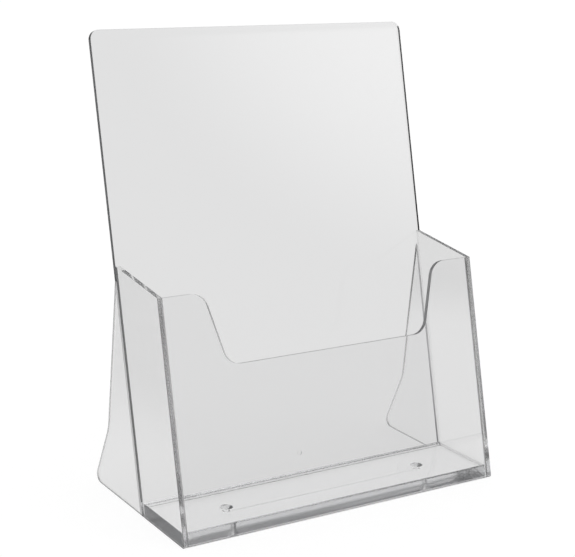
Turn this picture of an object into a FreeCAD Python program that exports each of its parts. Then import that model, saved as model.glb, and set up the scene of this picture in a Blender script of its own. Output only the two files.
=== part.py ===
"""Tabletop brochure rack for one stack of A4 portrait brochures, in clear plastic sheet.

Flat sheets are cut to outline and bonded edge to face, all of one thickness except the
floor of the pocket, a thicker slab that weighs the rack down.  The front and back panels
lean back by the same angle, and the side panels close the pocket between them.  Two
wings behind the back panel prop the rack up.

Frame: millimetres, +Z up, front towards -Y, left and right as seen from the front.  The
origin is the centre of the whole rack in plan, as if the foot of the front panel had a
sharp corner, on the surface it stands on.
"""

import FreeCAD, Part
import Sketcher
import os

# Driving dimensions, in millimetres and degrees.
SIZES = {
    "sheet": 3.0,  # thickness of every sheet but the floor
    "width": 231.0,  # over the outer faces of the side panels
    "lean": 15.0,  # front and back panels, back from upright
    "pocket_depth": 48.0,  # clear room for brochures, square to the panels
    "back_height": 296.0,  # back panel, along its slope
    "back_radius": 6.0,  # its top corners
    "front_height": 147.0,  # front panel, along its slope
    "notch_depth": 44.8,  # cut-out of the front panel, down its slope
    "notch_mouth": 170.4,  # width of the cut-out at the top
    "notch_base": 145.8,  # width of the cut-out at the bottom
    "notch_radius": 11.0,  # all four corners of the cut-out
    "side_rise": 148.0,  # side panel's top where it meets the back panel
    "foot_radius": 1.8,  # lower front edge of the front panel and the side panels
    "floor_thickness": 8.0,
    "hole_bore": 3.5,  # two countersunk screw holes through the floor panel
    "hole_head": 8.0,  # their width at the floor's upper face
    "hole_pitch": 145.0,
    "hole_setback": 27.5,  # from the foot of the front panel
    "mark_bore": 3.0,  # shallow round mark low on the back panel
    "mark_depth": 0.4,
    "mark_height": 20.0,  # up the slope of the back panel
    "wing_top": 138.5,  # tip of the wing on the back panel
    "wing_knee": 41.0,  # height where the wing starts to flare
    "knee_reach": 101.2,  # from the foot of the front panel
    "knee_radius": 30.0,
    "toe_reach": 119.6,  # from the foot of the front panel
    "toe_radius": 5.0,
}

# Lengths worked out from the driving dimensions.
SKEW = "tan(sizes.lean)"
THICKNESS_RUN = "sizes.sheet / cos(sizes.lean)"
BACK_RUN = "(sizes.pocket_depth + sizes.sheet) / cos(sizes.lean)"
TOP_RUN = "sizes.back_height * sin(sizes.lean) + sizes.sheet * cos(sizes.lean)"
FRONT_Y = f"-({BACK_RUN} + {TOP_RUN}) / 2"
BACK_Y = f"{FRONT_Y} + {BACK_RUN}"
REAR_RUN = f"({BACK_RUN} + {THICKNESS_RUN})"
INNER_WIDTH = "(sizes.width - 2 * sizes.sheet)"


def make_sheet(doc):
    """Spreadsheet "sizes", one plain number and alias for each driving dimension."""
    sheet = doc.addObject("Spreadsheet::Sheet", "sizes")
    for row, (alias, value) in enumerate(SIZES.items(), start=1):
        sheet.set(f"A{row}", alias)
        sheet.set(f"B{row}", str(value))
        sheet.setAlias(f"B{row}", alias)
    doc.recompute()
    return sheet


def value_of(body, expression):
    """The number that an expression on the sheet gives now."""
    result = body.evalExpression(expression)
    return float(getattr(result, "Value", result))


def add_body(doc, label, x="0", y=FRONT_Y, z="0", lean=False):
    """An empty body at its place; a leaning one has its X and Y in the panel's face."""
    body = doc.addObject("PartDesign::Body", label)
    body.Label = label
    body.Placement.Rotation = FreeCAD.Rotation(FreeCAD.Vector(1, 0, 0), 90.0 if lean else 0.0)
    for axis, expression in zip("xyz", (x, y, z)):
        body.setExpression(f".Placement.Base.{axis}", expression)
    if lean:
        body.setExpression(".Placement.Rotation.Angle", "90 - sizes.lean")
    return body


def add_sketch(body, name, role):
    """A sketch on the body's own origin plane with that role."""
    sketch = body.newObject("Sketcher::SketchObject", name)
    plane = next(f for f in body.Origin.OriginFeatures if f.Role == role)
    sketch.AttachmentSupport = [(plane, "")]
    sketch.MapMode = "FlatFace"
    return sketch


def place_point(sketch, geometry, point, name, across, up):
    """Ties a point of the sketch to two expressions, measured from the sketch's origin."""
    for kind, axis, expression in (("DistanceX", "x", across), ("DistanceY", "y", up)):
        value = value_of(sketch, expression)
        index = sketch.addConstraint(Sketcher.Constraint(kind, -1, 1, geometry, point, value))
        sketch.renameConstraint(index, f"{name}_{axis}")
        sketch.setExpression(f"Constraints.{name}_{axis}", expression)


def draw_outline(sketch, corners):
    """A closed outline of straight lines through named corners {name: (across, up)}."""
    points = [
        FreeCAD.Vector(value_of(sketch, across), value_of(sketch, up), 0)
        for across, up in corners.values()
    ]
    count = len(points)
    for i in range(count):
        sketch.addGeometry(Part.LineSegment(points[i], points[(i + 1) % count]), False)
    for i in range(count):
        sketch.addConstraint(Sketcher.Constraint("Coincident", i, 2, (i + 1) % count, 1))
    for i, (name, (across, up)) in enumerate(corners.items()):
        place_point(sketch, i, 1, name, across, up)


def draw_circle(sketch, name, across, up, diameter):
    """A circle with its centre and diameter tied to expressions."""
    centre = FreeCAD.Vector(value_of(sketch, across), value_of(sketch, up), 0)
    radius = value_of(sketch, diameter) / 2
    axis = FreeCAD.Vector(0, 0, 1)
    index = sketch.addGeometry(Part.Circle(centre, axis, radius), False)
    place_point(sketch, index, 3, name, across, up)
    size = sketch.addConstraint(Sketcher.Constraint("Diameter", index, 2 * radius))
    sketch.renameConstraint(size, f"{name}_bore")
    sketch.setExpression(f"Constraints.{name}_bore", diameter)


def add_pad(body, sketch, length, midplane=False, reverse=False):
    """Pads the sketch by an expression."""
    pad = body.newObject("PartDesign::Pad", f"{sketch.Name}_pad")
    pad.Profile = sketch
    pad.Midplane = midplane
    pad.Reversed = reverse
    pad.setExpression("Length", length)
    body.Document.recompute()
    return pad


def add_pocket(body, sketch, length, midplane=False, reverse=False):
    """Cuts the sketch out by an expression, and makes sure that something was cut."""
    before = body.Shape.Volume
    pocket = body.newObject("PartDesign::Pocket", f"{sketch.Name}_cut")
    pocket.Profile = sketch
    pocket.Midplane = midplane
    pocket.Reversed = reverse
    pocket.setExpression("Length", length)
    body.Document.recompute()
    if not body.Shape.Volume < before:
        raise RuntimeError(f"{body.Label}: {pocket.Name} removes nothing")
    return pocket


def add_screw_holes(body, centres):
    """Countersunk through holes, down from the sketch's plane."""
    before = body.Shape.Volume
    hole = body.newObject("PartDesign::Hole", f"{body.Name}_screw_holes")
    hole.Profile = centres
    body.Document.recompute()
    hole.ThreadType = "None"
    hole.DepthType = "ThroughAll"
    hole.HoleCutType = "Countersink"
    hole.HoleCutCustomValues = True
    hole.HoleCutCountersinkAngle = 90.0
    hole.setExpression("Diameter", "sizes.hole_bore")
    hole.setExpression("HoleCutDiameter", "sizes.hole_head")
    body.Document.recompute()
    if not body.Shape.Volume < before:
        raise RuntimeError(f"{body.Label}: the screw holes remove nothing")


def edges_through(feature, body, axes, corners):
    """Names of the straight edges that pass through the sketch corners, square to them."""
    found = []
    for across, up in corners:
        place = {axes[0]: value_of(body, across), axes[1]: value_of(body, up)}
        for number, edge in enumerate(feature.Shape.Edges, start=1):
            ends = [vertex.Point for vertex in edge.Vertexes]
            if all(abs(getattr(end, a) - v) < 1e-4 for end in ends for a, v in place.items()):
                found.append(f"Edge{number}")
    if len(found) != len(corners):
        raise RuntimeError(f"{body.Label}: found {len(found)} edges at {len(corners)} corners")
    return found


def add_fillet(body, base, axes, corners, radius):
    """Rounds the edges that stand square on the sketch at those corners."""
    fillet = body.newObject("PartDesign::Fillet", f"{body.Name}_round")
    fillet.Base = (base, edges_through(base, body, axes, corners))
    fillet.setExpression("Radius", radius)
    body.Document.recompute()
    return fillet


def trim_foot(body):
    """Cuts the lower edge of a leaning panel level, so that it stands flat."""
    sketch = add_sketch(body, f"{body.Name}_foot", "YZ_Plane")
    corners = {
        "front": ("0", "0"),
        "rear": ("0", "-sizes.sheet"),
        "heel": (f"sizes.sheet * {SKEW}", "-sizes.sheet"),
    }
    draw_outline(sketch, corners)
    return add_pocket(body, sketch, "2 * sizes.width", midplane=True)


def round_foot(body, base):
    """Rounds the lower front edge of a sheet that starts at the origin of its body."""
    add_fillet(body, base, "yz", [("0", "0")], "sizes.foot_radius")


def make_back_panel(doc):
    """Full-width sheet with rounded top corners and one shallow round mark."""
    body = add_body(doc, "back_panel", y=BACK_Y, lean=True)
    sketch = add_sketch(body, "back_outline", "XY_Plane")
    corners = {
        "left_foot": ("-sizes.width / 2", "0"),
        "right_foot": ("sizes.width / 2", "0"),
        "right_top": ("sizes.width / 2", "sizes.back_height"),
        "left_top": ("-sizes.width / 2", "sizes.back_height"),
    }
    draw_outline(sketch, corners)
    pad = add_pad(body, sketch, "sizes.sheet", reverse=True)
    tops = [corners["right_top"], corners["left_top"]]
    add_fillet(body, pad, "xy", tops, "sizes.back_radius")
    trim_foot(body)
    mark = add_sketch(body, "back_mark", "XY_Plane")
    draw_circle(mark, "mark", "0", "sizes.mark_height", "sizes.mark_bore")
    add_pocket(body, mark, "sizes.mark_depth")
    return body


def make_front_panel(doc):
    """Low sheet between the side panels, with a wide cut-out to reach the brochures."""
    body = add_body(doc, "front_panel", lean=True)
    sketch = add_sketch(body, "front_outline", "XY_Plane")
    edge = f"{INNER_WIDTH} / 2"
    base = "sizes.front_height - sizes.notch_depth"
    corners = {
        "left_foot": (f"-{edge}", "0"),
        "right_foot": (edge, "0"),
        "right_top": (edge, "sizes.front_height"),
        "right_mouth": ("sizes.notch_mouth / 2", "sizes.front_height"),
        "right_base": ("sizes.notch_base / 2", base),
        "left_base": ("-sizes.notch_base / 2", base),
        "left_mouth": ("-sizes.notch_mouth / 2", "sizes.front_height"),
        "left_top": (f"-{edge}", "sizes.front_height"),
    }
    draw_outline(sketch, corners)
    pad = add_pad(body, sketch, "sizes.sheet", reverse=True)
    notch = [corners[name] for name in ("right_mouth", "right_base", "left_base", "left_mouth")]
    add_fillet(body, pad, "xy", notch, "sizes.notch_radius")
    round_foot(body, trim_foot(body))
    return body


def make_floor_panel(doc):
    """Slab at the bottom of the pocket, its long edges cut to the slope of the panels."""
    body = add_body(doc, "floor_panel", z="sizes.floor_thickness")
    sketch = add_sketch(body, "floor_section", "YZ_Plane")
    slope_run = f"sizes.floor_thickness * {SKEW}"
    corners = {
        "front_under": (THICKNESS_RUN, "-sizes.floor_thickness"),
        "back_under": (BACK_RUN, "-sizes.floor_thickness"),
        "back_over": (f"{BACK_RUN} + {slope_run}", "0"),
        "front_over": (f"{THICKNESS_RUN} + {slope_run}", "0"),
    }
    draw_outline(sketch, corners)
    add_pad(body, sketch, INNER_WIDTH, midplane=True)
    centres = add_sketch(body, "floor_holes", "XY_Plane")
    for name, side in (("left", "-"), ("right", "")):
        across = f"{side}sizes.hole_pitch / 2"
        draw_circle(centres, name, across, "sizes.hole_setback", "sizes.hole_bore")
    add_screw_holes(body, centres)
    return body


def side_place(side):
    """Middle of a side sheet across the rack; side is -1 on the left and 1 on the right."""
    return f"{side} * (sizes.width - sizes.sheet) / 2"


def make_side_panel(doc, label, side):
    """Cheek of the pocket, from the front panel's outer face to the back panel."""
    body = add_body(doc, label, x=side_place(side))
    sketch = add_sketch(body, f"{label}_outline", "YZ_Plane")
    corners = {
        "front_foot": ("0", "0"),
        "back_foot": (BACK_RUN, "0"),
        "back_top": (f"{BACK_RUN} + sizes.side_rise * {SKEW}", "sizes.side_rise"),
        "front_top": (
            "sizes.front_height * sin(sizes.lean)",
            "sizes.front_height * cos(sizes.lean)",
        ),
    }
    draw_outline(sketch, corners)
    round_foot(body, add_pad(body, sketch, "sizes.sheet", midplane=True))
    return body


def make_support_wing(doc, label, side):
    """Prop behind the back panel, slim above and flared to a rounded toe."""
    body = add_body(doc, label, x=side_place(side))
    sketch = add_sketch(body, f"{label}_outline", "YZ_Plane")
    corners = {
        "heel": (REAR_RUN, "0"),
        "toe": ("sizes.toe_reach", "0"),
        "knee": ("sizes.knee_reach", "sizes.wing_knee"),
        "tip": (f"{REAR_RUN} + sizes.wing_top * {SKEW}", "sizes.wing_top"),
    }
    draw_outline(sketch, corners)
    pad = add_pad(body, sketch, "sizes.sheet", midplane=True)
    knee = add_fillet(body, pad, "yz", [corners["knee"]], "sizes.knee_radius")
    add_fillet(body, knee, "yz", [corners["toe"]], "sizes.toe_radius")
    return body


def check(doc, bodies):
    """Stops on any object that failed to rebuild and on any bad sub-part."""
    for item in doc.Objects:
        if "Invalid" in item.State or "Error" in item.State:
            raise RuntimeError(f"{item.Label}: {item.State}")
    for body in bodies:
        shape = body.Shape
        if shape.isNull() or not shape.isValid() or len(shape.Solids) != 1:
            raise RuntimeError(f"{body.Label}: bad shape")


def export(bodies):
    """Writes one STEP file for each sub-part."""
    os.makedirs("parts", exist_ok=True)
    for body in bodies:
        body.Shape.exportStep(f"parts/{body.Label}.step")


def main():
    doc = FreeCAD.newDocument("brochure_rack")
    make_sheet(doc)
    bodies = [make_back_panel(doc), make_front_panel(doc), make_floor_panel(doc)]
    for name, side in (("left", -1), ("right", 1)):
        bodies.append(make_side_panel(doc, f"{name}_side_panel", side))
        bodies.append(make_support_wing(doc, f"{name}_support_wing", side))
    doc.recompute()
    check(doc, bodies)
    export(bodies)
    for body in bodies:
        print(body.Label, body.Shape.BoundBox)


main()
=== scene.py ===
"""Looks of the clear brochure rack: its CAD sheets as clear plastic in a white studio."""

import math

import bpy
from mathutils import Matrix, Vector


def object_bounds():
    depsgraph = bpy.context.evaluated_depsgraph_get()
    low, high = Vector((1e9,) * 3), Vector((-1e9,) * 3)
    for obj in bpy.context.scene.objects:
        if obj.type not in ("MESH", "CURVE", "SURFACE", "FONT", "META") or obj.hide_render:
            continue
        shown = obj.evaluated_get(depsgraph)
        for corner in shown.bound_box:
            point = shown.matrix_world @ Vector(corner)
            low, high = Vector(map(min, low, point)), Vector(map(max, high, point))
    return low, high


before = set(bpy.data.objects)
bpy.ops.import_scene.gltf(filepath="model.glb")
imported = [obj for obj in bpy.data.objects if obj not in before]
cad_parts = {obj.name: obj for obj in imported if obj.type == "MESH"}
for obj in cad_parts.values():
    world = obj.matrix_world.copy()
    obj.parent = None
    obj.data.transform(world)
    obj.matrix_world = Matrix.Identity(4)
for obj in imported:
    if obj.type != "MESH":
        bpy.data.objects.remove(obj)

CAD_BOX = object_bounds()

# Camera: where it looks, from which side, how far away, its lens, and how far it sees.
# Lengths in metres, angles in degrees, lens and sensor in millimetres.
AIM = Vector((-0.0254, -0.0262, 0.1431))
AZIMUTH = 33.19
ELEVATION = 15.29
ROLL = 2.20
DISTANCE = 0.9143
LENS = 94.09
SENSOR = 36.0
FAR_CLIP = 100

# Shape of the sheets: their lean, the panels that grow a hair into their neighbours where
# they are bonded, how edges are rounded, and from what angle a fold shows as sharp.  Lengths
# in metres, angles in degrees.
LEAN = 15
WELD_REACH = 1e-6
JOINT_OVERLAP = 0.00001
GROWN = ("back_panel", "front_panel", "left_side_panel", "right_side_panel")
EDGE_ROUND = 0.0007
ROUND_STEPS = 3
ROUNDED_ANGLE = 50
SHARP_ANGLE = 12

# Clear plastic: its body, and how strongly each kind of sheet absorbs, seen only along its
# long ways; the plastic's faint tint is set strong enough, sheet by sheet, to paint shade
# into the cut edges.
IOR = 1.49
ABSORB_TINT = (0.30, 0.31, 0.34)
BACK_DENSITY = 14.0
FRONT_DENSITY = 9.0
SIDE_DENSITY = 0.3
WING_DENSITY = 9.0
SLAB_DENSITY = 8.0

# Its surface: where a face gives way to a cut edge and a cut edge to a bonded end, faint
# smudges and waves on the faces, how rough polished and sawn edges are, and how grey the
# sawn ones are painted above the underside, a painted shade standing in for the dark
# surroundings seen in those edges.
FACE_TURN = (0.80, 0.98)
END_TURN = (0.97, 0.99)
SMUDGE_SCALE = 26.0
SMUDGE_DETAIL = 5.0
SMUDGE_SPAN = (0.45, 0.75)
SMUDGED = (0.0, 0.05)
SAW_SCALE = 900.0
SAW_DETAIL = 2.0
POLISHED = (0.06, 0.22)
SAWN = (0.2, 0.6)
WAVE_SCALE = 40.0
WAVE_DETAIL = 1.0
WAVE_STRENGTH = 0.03
WAVE_DEPTH = 0.0002
# Painted shade: how grey the cut edges of the front panel and the wings are painted.
FRONT_EDGE_SHADE = 0.4
WING_EDGE_SHADE = 0.8
UNDERSIDE = (0.0008, 0.0012)

# Light bounces, enough for stacked clear sheets.
BOUNCES = 128

# Studio: brightness of the table to the eye, through the plastic, and under the slab, which
# lies about a line across the rack, painted into the floor's glow as a brighter strip; to
# light that turned inside a sheet the table fades away on either side, a painted shade.
# Lengths in metres.
SEEN_DIRECT = 1.04
SEEN_THROUGH = 0.83
SEEN_UNDER = 0.98
UNDER_Y = -0.038
UNDER_SLAB = (0.026, 0.040)
UNDER_SIDES = (0.108, 0.118)
LIT_TABLE = (0.17, 0.33)
FLOOR_HALF = 20.0
FLOOR_GAP = 0.00005
FLOOR_PALE = 0.30

# Surroundings: an even sky, a paler patch behind the rack and a soft lamp at the front right.
SKY = 0.50
PATCH_ELEVATION = 15.0
PATCH_SPREAD = (0.88, 0.97)
PATCH_LEVEL = 0.10
LAMP_TOWARDS = (0.644, -0.667, 0.375)
LAMP_SPREAD = (0.965, 1.0)
LAMP_LEVEL = 2.0


def new_material(name):
    """An empty node material and its output."""
    material = bpy.data.materials.new(name)
    material.use_nodes = True
    nodes = material.node_tree.nodes
    nodes.clear()
    return material, nodes.new("ShaderNodeOutputMaterial")


def mix_levels(tree, factor, low, high):
    """A mix of two levels, each a number or an output socket, by a factor socket."""
    mix = tree.nodes.new("ShaderNodeMix")
    tree.links.new(factor, mix.inputs["Factor"])
    for socket, level in ((mix.inputs["A"], low), (mix.inputs["B"], high)):
        if isinstance(level, float):
            socket.default_value = level
        else:
            tree.links.new(level, socket)
    return mix.outputs["Result"]


def map_range(tree, value, span, ends, kind="SMOOTHSTEP"):
    """The value's place in a span, carried over to the two ends."""
    node = tree.nodes.new("ShaderNodeMapRange")
    node.interpolation_type = kind
    node.inputs["From Min"].default_value, node.inputs["From Max"].default_value = span
    node.inputs["To Min"].default_value, node.inputs["To Max"].default_value = ends
    tree.links.new(value, node.inputs["Value"])
    return node.outputs["Result"]


def join(tree, operation, first, second):
    """A sum, product or the like of two sockets or numbers."""
    node = tree.nodes.new("ShaderNodeMath")
    node.operation = operation
    for socket, value in zip(node.inputs, (first, second)):
        if isinstance(value, float):
            socket.default_value = value
        else:
            tree.links.new(value, socket)
    return node.outputs[0]


def along(tree, direction, towards):
    """How far a direction or place lies towards a fixed direction."""
    node = tree.nodes.new("ShaderNodeVectorMath")
    node.operation = "DOT_PRODUCT"
    node.inputs[1].default_value = towards
    tree.links.new(direction, node.inputs[0])
    return node.outputs["Value"]


def size_along(tree, direction, towards):
    """How far a direction or place lies towards a fixed direction or away from it."""
    return join(tree, "ABSOLUTE", along(tree, direction, towards), 0.0)


def noise(tree, place, scale, detail):
    """Noise that stays with the sheet."""
    node = tree.nodes.new("ShaderNodeTexNoise")
    node.inputs["Scale"].default_value = scale
    node.inputs["Detail"].default_value = detail
    tree.links.new(place, node.inputs["Vector"])
    return node.outputs["Fac"]


def clear_plastic(name, face_normal, density, finish=POLISHED, edge_shade_grey=1.0, bonded_ends=False):
    """Clear plastic sheet: glossy faces with faint waves, and edges that scatter a little.

    Painted shade greys the cut edges in place of the dark surroundings they show; it leaves the
    underside clear, and also the two ends where they are bonded.
    """
    material, output = new_material(name)
    tree = material.node_tree
    nodes = tree.nodes
    link = tree.links.new
    place = nodes.new("ShaderNodeTexCoord").outputs["Object"]
    geometry = nodes.new("ShaderNodeNewGeometry")

    # 1 on the faces of the sheet, 0 on its cut edges
    facing = size_along(tree, geometry.outputs["Normal"], face_normal)
    is_face = map_range(tree, facing, FACE_TURN, (0, 1), "LINEAR")

    smudge = noise(tree, place, SMUDGE_SCALE, SMUDGE_DETAIL)
    saw = noise(tree, place, SAW_SCALE, SAW_DETAIL)
    face_rough = map_range(tree, smudge, SMUDGE_SPAN, SMUDGED, "LINEAR")
    edge_rough = map_range(tree, saw, (0, 1), finish, "LINEAR")

    bump = nodes.new("ShaderNodeBump")
    bump.inputs["Strength"].default_value = WAVE_STRENGTH
    bump.inputs["Distance"].default_value = WAVE_DEPTH
    link(noise(tree, place, WAVE_SCALE, WAVE_DETAIL), bump.inputs["Height"])

    shader = nodes.new("ShaderNodeBsdfPrincipled")
    shader.inputs["Base Color"].default_value = (1.0, 1.0, 1.0, 1.0)
    # Painted shade: cut edges get a greyer base colour, standing in for the dark surroundings seen
    # in them.
    if edge_shade_grey < 1:
        height = along(tree, geometry.outputs["Position"], (0, 0, 1))
        underside = map_range(tree, height, UNDERSIDE, (1, 0))
        clear = join(tree, "MAXIMUM", is_face, underside)
        if bonded_ends:
            sideways = size_along(tree, geometry.outputs["Normal"], (1, 0, 0))
            clear = join(tree, "MAXIMUM", clear, map_range(tree, sideways, END_TURN, (0, 1)))
        link(map_range(tree, clear, (0, 1), (edge_shade_grey, 1)), shader.inputs["Base Color"])
    shader.inputs["Transmission Weight"].default_value = 1.0
    shader.inputs["IOR"].default_value = IOR
    link(mix_levels(tree, is_face, edge_rough, face_rough), shader.inputs["Roughness"])
    link(bump.outputs["Normal"], shader.inputs["Normal"])
    link(shader.outputs["BSDF"], output.inputs["Surface"])

    # The plastic's own faint tint, made strong enough per sheet that its long ways paint shade into
    # the cut edges.
    absorb = nodes.new("ShaderNodeVolumeAbsorption")
    absorb.inputs["Color"].default_value = (*ABSORB_TINT, 1.0)
    absorb.inputs["Density"].default_value = density
    link(absorb.outputs["Volume"], output.inputs["Volume"])
    return material


def pale_floor():
    """Plain pale floor, white to the eye; its glow paints a brighter strip under the slab, and rays
    that turned inside a sheet see it fade away into painted shade.
    """
    material, output = new_material("pale_floor")
    tree = material.node_tree
    diffuse = tree.nodes.new("ShaderNodeBsdfDiffuse")
    diffuse.inputs["Color"].default_value = (FLOOR_PALE, FLOOR_PALE, FLOOR_PALE, 1.0)

    place = tree.nodes.new("ShaderNodeNewGeometry").outputs["Position"]
    beyond = join(tree, "SUBTRACT", along(tree, place, (0, 1, 0)), UNDER_Y)
    beyond = join(tree, "ABSOLUTE", beyond, 0.0)
    across = size_along(tree, place, (1, 0, 0))
    # Painted light: for rays through the plastic the floor glows brighter under the slab.
    under = map_range(tree, beyond, UNDER_SLAB, (SEEN_UNDER - SEEN_THROUGH, 0.0))
    under = join(tree, "MULTIPLY", under, map_range(tree, across, UNDER_SIDES, (1.0, 0.0)))
    through = join(tree, "ADD", under, SEEN_THROUGH)

    turn = math.radians(AZIMUTH)
    # Painted shade: for light that turned inside a sheet the floor darkens on either side.
    aside = size_along(tree, place, (math.cos(turn), -math.sin(turn), 0))
    faded = join(tree, "MULTIPLY", through, map_range(tree, aside, LIT_TABLE, (1.0, 0.0)))

    path = tree.nodes.new("ShaderNodeLightPath")
    entered = join(tree, "GREATER_THAN", path.outputs["Transmission Depth"], 0.5)
    mirrored = join(tree, "GREATER_THAN", path.outputs["Glossy Depth"], 0.5)
    turned = join(tree, "MULTIPLY", entered, mirrored)
    level = mix_levels(tree, turned, through, faded)
    level = mix_levels(tree, path.outputs["Is Camera Ray"], level, SEEN_DIRECT)
    glow = tree.nodes.new("ShaderNodeEmission")
    tree.links.new(join(tree, "SUBTRACT", level, FLOOR_PALE * SKY), glow.inputs["Strength"])
    both = tree.nodes.new("ShaderNodeAddShader")
    tree.links.new(diffuse.outputs[0], both.inputs[0])
    tree.links.new(glow.outputs[0], both.inputs[1])
    tree.links.new(both.outputs[0], output.inputs["Surface"])
    return material


def new_geometry_group(name):
    """An empty geometry node group with its way in and its way out."""
    group = bpy.data.node_groups.new(name, "GeometryNodeTree")
    for way in ("INPUT", "OUTPUT"):
        group.interface.new_socket("Geometry", in_out=way, socket_type="NodeSocketGeometry")
    way_in = group.nodes.new("NodeGroupInput").outputs[0]
    way_out = group.nodes.new("NodeGroupOutput").inputs[0]
    return group, way_in, way_out


def make_keep_inside():
    """Geometry nodes that hold every vertex inside the box of the CAD model."""
    group, way_in, way_out = new_geometry_group("keep_inside")
    place = group.nodes.new("GeometryNodeInputPosition").outputs[0]
    for operation, corner in zip(("MAXIMUM", "MINIMUM"), CAD_BOX):
        limit = group.nodes.new("ShaderNodeVectorMath")
        limit.operation = operation
        limit.inputs[1].default_value = corner
        group.links.new(place, limit.inputs[0])
        place = limit.outputs[0]
    move = group.nodes.new("GeometryNodeSetPosition")
    group.links.new(way_in, move.inputs["Geometry"])
    group.links.new(place, move.inputs["Position"])
    group.links.new(move.outputs[0], way_out)
    return group


def make_true_shading():
    """Geometry nodes that shade flat faces flat and curved ones smooth."""
    group, way_in, way_out = new_geometry_group("true_shading")
    forget = group.nodes.new("GeometryNodeRemoveAttribute")
    forget.inputs["Name"].default_value = "custom_normal"
    smooth = group.nodes.new("GeometryNodeSetShadeSmooth")
    angle = group.nodes.new("GeometryNodeInputMeshEdgeAngle")
    is_sharp = group.nodes.new("FunctionNodeCompare")
    is_sharp.operation = "GREATER_THAN"
    is_sharp.inputs["B"].default_value = math.radians(SHARP_ANGLE)
    group.links.new(angle.outputs["Unsigned Angle"], is_sharp.inputs["A"])
    sharp = group.nodes.new("GeometryNodeSetShadeSmooth")
    sharp.domain = "EDGE"
    sharp.inputs["Shade Smooth"].default_value = False
    group.links.new(is_sharp.outputs[0], sharp.inputs["Selection"])
    group.links.new(way_in, forget.inputs[0])
    group.links.new(forget.outputs[0], smooth.inputs[0])
    group.links.new(smooth.outputs[0], sharp.inputs[0])
    group.links.new(sharp.outputs[0], way_out)
    return group


def shape_sheet(piece, keep_inside, true_shading):
    """Grows the sheet into its neighbours where they are bonded, and rounds its cut edges."""
    weld = piece.modifiers.new("weld", "WELD")
    weld.merge_threshold = WELD_REACH
    if piece.name in GROWN:
        grow = piece.modifiers.new("grow", "DISPLACE")
        grow.strength = JOINT_OVERLAP
        grow.mid_level = 0.0
        inside = piece.modifiers.new("keep_inside", "NODES")
        inside.node_group = keep_inside
    bevel = piece.modifiers.new("edge_round", "BEVEL")
    bevel.width = EDGE_ROUND
    bevel.segments = ROUND_STEPS
    bevel.limit_method = "ANGLE"
    bevel.angle_limit = math.radians(ROUNDED_ANGLE)
    shading = piece.modifiers.new("true_shading", "NODES")
    shading.node_group = true_shading


def dress_sheets():
    """Gives every CAD sheet its material and rounded edges."""
    lean = math.radians(LEAN)
    leaning = (0, -math.cos(lean), math.sin(lean))
    back = clear_plastic("clear_back", leaning, BACK_DENSITY)
    front = clear_plastic("clear_front", leaning, FRONT_DENSITY, SAWN, FRONT_EDGE_SHADE, bonded_ends=True)
    side = clear_plastic("clear_side", (1, 0, 0), SIDE_DENSITY)
    wing = clear_plastic("clear_wing", (1, 0, 0), WING_DENSITY, SAWN, WING_EDGE_SHADE)
    slab = clear_plastic("clear_slab", (0, 0, 1), SLAB_DENSITY)
    keep_inside = make_keep_inside()
    true_shading = make_true_shading()
    for name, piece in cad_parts.items():
        if name == "back_panel":
            material = back
        elif name == "front_panel":
            material = front
        elif name == "floor_panel":
            material = slab
        elif name.endswith("_wing"):
            material = wing
        else:
            material = side
        for slot in piece.material_slots:
            slot.material = material
        shape_sheet(piece, keep_inside, true_shading)


def make_floor():
    """A wide floor just under the rack."""
    mesh = bpy.data.meshes.new("studio_floor")
    low = CAD_BOX[0].z - FLOOR_GAP
    sides = ((-1, -1), (1, -1), (1, 1), (-1, 1))
    corners = [(x * FLOOR_HALF, y * FLOOR_HALF, low) for x, y in sides]
    mesh.from_pydata(corners, [], [(0, 1, 2, 3)])
    mesh.materials.append(pale_floor())
    floor = bpy.data.objects.new("studio_floor", mesh)
    bpy.context.scene.collection.objects.link(floor)


def make_world():
    """White to the eye; in the plastic an even sky, a pale patch behind and a soft lamp."""
    world = bpy.data.worlds.new("studio")
    bpy.context.scene.world = world
    world.use_nodes = True
    tree = world.node_tree
    tree.nodes.clear()
    output = tree.nodes.new("ShaderNodeOutputWorld")
    background = tree.nodes.new("ShaderNodeBackground")
    outwards = tree.nodes.new("ShaderNodeTexCoord").outputs["Generated"]
    turn = math.radians(AZIMUTH)
    rise = math.radians(PATCH_ELEVATION)
    behind = (math.sin(turn) * math.cos(rise), math.cos(turn) * math.cos(rise), math.sin(rise))
    patch = map_range(tree, along(tree, outwards, behind), PATCH_SPREAD, (SKY, SKY + PATCH_LEVEL))
    lamp = map_range(tree, along(tree, outwards, LAMP_TOWARDS), LAMP_SPREAD, (0.0, LAMP_LEVEL))
    path = tree.nodes.new("ShaderNodeLightPath")
    unseen = join(tree, "ADD", patch, lamp)
    level = mix_levels(tree, path.outputs["Is Camera Ray"], unseen, SEEN_DIRECT)
    tree.links.new(level, background.inputs["Strength"])
    tree.links.new(background.outputs[0], output.inputs["Surface"])


def make_camera():
    """Camera on a sphere around its aim, turned by azimuth, elevation and roll."""
    data = bpy.data.cameras.new("camera")
    data.lens = LENS
    data.sensor_width = SENSOR
    data.clip_end = FAR_CLIP
    camera = bpy.data.objects.new("camera", data)
    turn = (
        Matrix.Rotation(-math.radians(AZIMUTH), 4, "Z")
        @ Matrix.Rotation(math.radians(90 - ELEVATION), 4, "X")
        @ Matrix.Rotation(math.radians(ROLL), 4, "Z")
    )
    back = turn @ Vector((0, 0, 1))
    camera.matrix_world = Matrix.Translation(AIM + DISTANCE * back) @ turn
    bpy.context.scene.collection.objects.link(camera)
    bpy.context.scene.camera = camera


def set_scene():
    """Plain colour rendering, and enough light bounces for stacked clear sheets."""
    scene = bpy.context.scene
    scene.view_settings.view_transform = "Standard"
    scene.cycles.max_bounces = BOUNCES
    scene.cycles.transmission_bounces = BOUNCES
    scene.cycles.glossy_bounces = BOUNCES


dress_sheets()
make_floor()
make_world()
make_camera()
set_scene()
